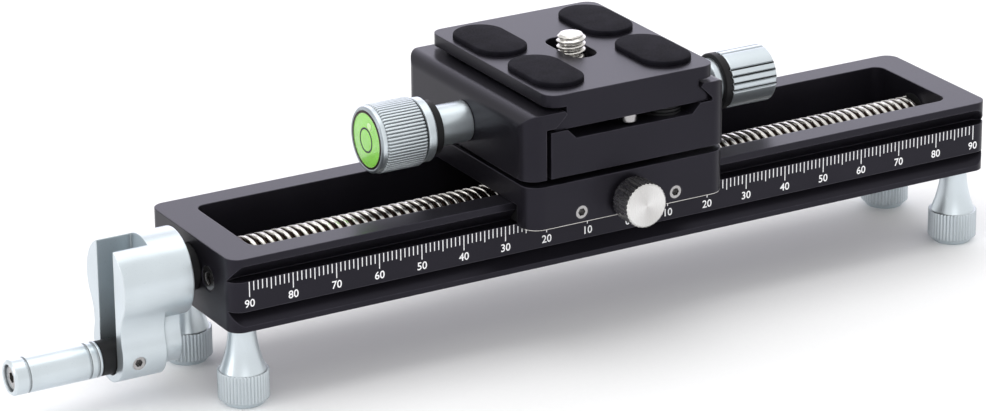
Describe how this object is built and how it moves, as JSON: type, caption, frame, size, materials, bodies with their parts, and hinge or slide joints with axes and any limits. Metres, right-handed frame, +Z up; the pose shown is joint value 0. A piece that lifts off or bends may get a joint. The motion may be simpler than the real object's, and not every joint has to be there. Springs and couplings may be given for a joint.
{
  "type": "macro focusing rail",
  "caption": "Macro focusing rail: crank-driven carriage on a scaled dovetail rail, with a rotating quick-release clamp, camera plate, level, lock knobs and feet.",
  "frame": {"origin": "mouth of the central tripod socket in the rail's underside, at scale zero", "axes": "+X along the rail, away from the crank; +Y to the back, away from the side with the lock knob; +Z up"},
  "size_m": [0.2302, 0.0598, 0.061],
  "materials": {
    "black_anodised": "satin anodised",
    "silver_anodised": "satin anodised",
    "steel": "turned",
    "brass": "turned",
    "black_plastic": "matte",
    "white_plastic": "matte",
    "pad_rubber": "matte",
    "vial_green": "clear fluid",
    "clear_window": "clear"
  },
  "bodies": {
    "rail": {"rail_body": "black_anodised", "crank_end_bush": "black_plastic", "far_end_bush": "black_plastic", "bearing_plate": "steel", "bearing_screws": "steel"},
    "drive": {"lead_screw": "steel", "crank_collar": "black_plastic", "inner_thrust_ring": "steel", "crank_body": "silver_anodised", "handle_pivot_pin": "steel"},
    "handle": {"handle_root": "black_plastic", "handle_spindle": "steel", "spindle_screw": "steel"},
    "grip": {"handle_grip": "silver_anodised"},
    "carriage": {"carriage_saddle": "black_anodised", "drive_nut": "brass", "nut_screws": "steel", "gib_strip": "black_plastic", "gib_screws": "steel", "slide_strips": "white_plastic", "pan_post": "steel", "pan_disc": "steel", "pan_bolt": "steel", "friction_washer": "black_plastic"},
    "lock": {"lock_knob": "steel"},
    "clamp": {"clamp_base": "black_anodised", "jaw_springs": "steel"},
    "jaw": {"clamp_jaw": "black_anodised", "guide_pins": "steel"},
    "jaw_knob": {"clamp_knob": "silver_anodised", "clamp_screw": "steel", "level_vial": "vial_green", "level_window": "clear_window"},
    "pan_lock": {"pan_knob": "silver_anodised", "pan_collar": "black_plastic", "pan_stud": "steel"},
    "plate": {"quick_plate": "black_anodised", "pad_front_left": "pad_rubber", "pad_front_right": "pad_rubber", "pad_back_left": "pad_rubber", "pad_back_right": "pad_rubber", "stop_pins": "silver_anodised"},
    "screw_slider": {"screw_washer": "black_plastic"},
    "screw": {"camera_screw": "steel"},
    "foot_fl": {"foot_front_left": "silver_anodised"},
    "foot_fr": {"foot_front_right": "silver_anodised"},
    "foot_bl": {"foot_back_left": "silver_anodised"},
    "foot_br": {"foot_back_right": "silver_anodised"}
  },
  "joints": [
    {"name": "crank_spin", "type": "hinge", "parent": "rail", "child": "drive", "pos_m": [-0.1, 0, 0.0088], "axis": [1, 0, 0], "range_deg": [-2881, 1846]},
    {"name": "carriage_slide", "type": "slide", "parent": "rail", "child": "carriage", "axis": [1, 0, 0], "range_m": [-0.041, 0.064]},
    {"name": "handle_fold", "type": "hinge", "parent": "drive", "child": "handle", "pos_m": [-0.1095, 0, -0.0072], "axis": [0, 1, 0], "range_deg": [0, 90]},
    {"name": "grip_spin", "type": "hinge", "parent": "handle", "child": "grip", "pos_m": [-0.125, 0, -0.0072], "axis": [1, 0, 0], "continuous": true},
    {"name": "lock_turn", "type": "hinge", "parent": "carriage", "child": "lock", "pos_m": [-0.0041, -0.03, 0.0151], "axis": [0, 1, 0], "range_deg": [0, 180]},
    {"name": "clamp_pan", "type": "hinge", "parent": "carriage", "child": "clamp", "pos_m": [-0.0041, 0, 0.025], "axis": [0, 0, 1], "continuous": true},
    {"name": "jaw_knob_turn", "type": "hinge", "parent": "jaw", "child": "jaw_knob", "pos_m": [-0.045, 0, 0.0285], "axis": [-1, 0, 0], "range_deg": [0, 1576]},
    {"name": "jaw_slide", "type": "slide", "parent": "clamp", "child": "jaw", "axis": [-1, 0, 0], "range_m": [0, 0.0035], "deforming": ["jaw_springs"]},
    {"name": "pan_lock_turn", "type": "hinge", "parent": "clamp", "child": "pan_lock", "pos_m": [0.038, 0, 0.02595], "axis": [1, 0, 0], "range_deg": [0, 270]},
    {"name": "plate_slide", "type": "slide", "parent": "clamp", "child": "plate", "axis": [0, 1, 0], "range_m": [-0.003, 0.003]},
    {"name": "camera_screw_slide", "type": "slide", "parent": "plate", "child": "screw_slider", "axis": [0, 1, 0], "range_m": [-0.004, 0.004]},
    {"name": "camera_screw_turn", "type": "hinge", "parent": "screw_slider", "child": "screw", "pos_m": [-0.0026, 0, 0.04], "axis": [0, 0, 1], "continuous": true},
    {"name": "foot_fl_turn", "type": "hinge", "parent": "rail", "child": "foot_fl", "pos_m": [-0.0892, -0.0133, -0.008], "axis": [0, 0, 1], "range_deg": [0, 720]},
    {"name": "foot_fr_turn", "type": "hinge", "parent": "rail", "child": "foot_fr", "pos_m": [0.0892, -0.0133, -0.008], "axis": [0, 0, 1], "range_deg": [0, 720]},
    {"name": "foot_bl_turn", "type": "hinge", "parent": "rail", "child": "foot_bl", "pos_m": [-0.0892, 0.0133, -0.008], "axis": [0, 0, 1], "range_deg": [0, 720]},
    {"name": "foot_br_turn", "type": "hinge", "parent": "rail", "child": "foot_br", "pos_m": [0.0892, 0.0133, -0.008], "axis": [0, 0, 1], "range_deg": [0, 720]}
  ],
  "couplings": [
    {"joint": "crank_spin", "follows": "carriage_slide", "rad_per_m": -785.4},
    {"joint": "jaw_knob_turn", "follows": "jaw_slide", "rad_per_m": 7854}
  ]
}
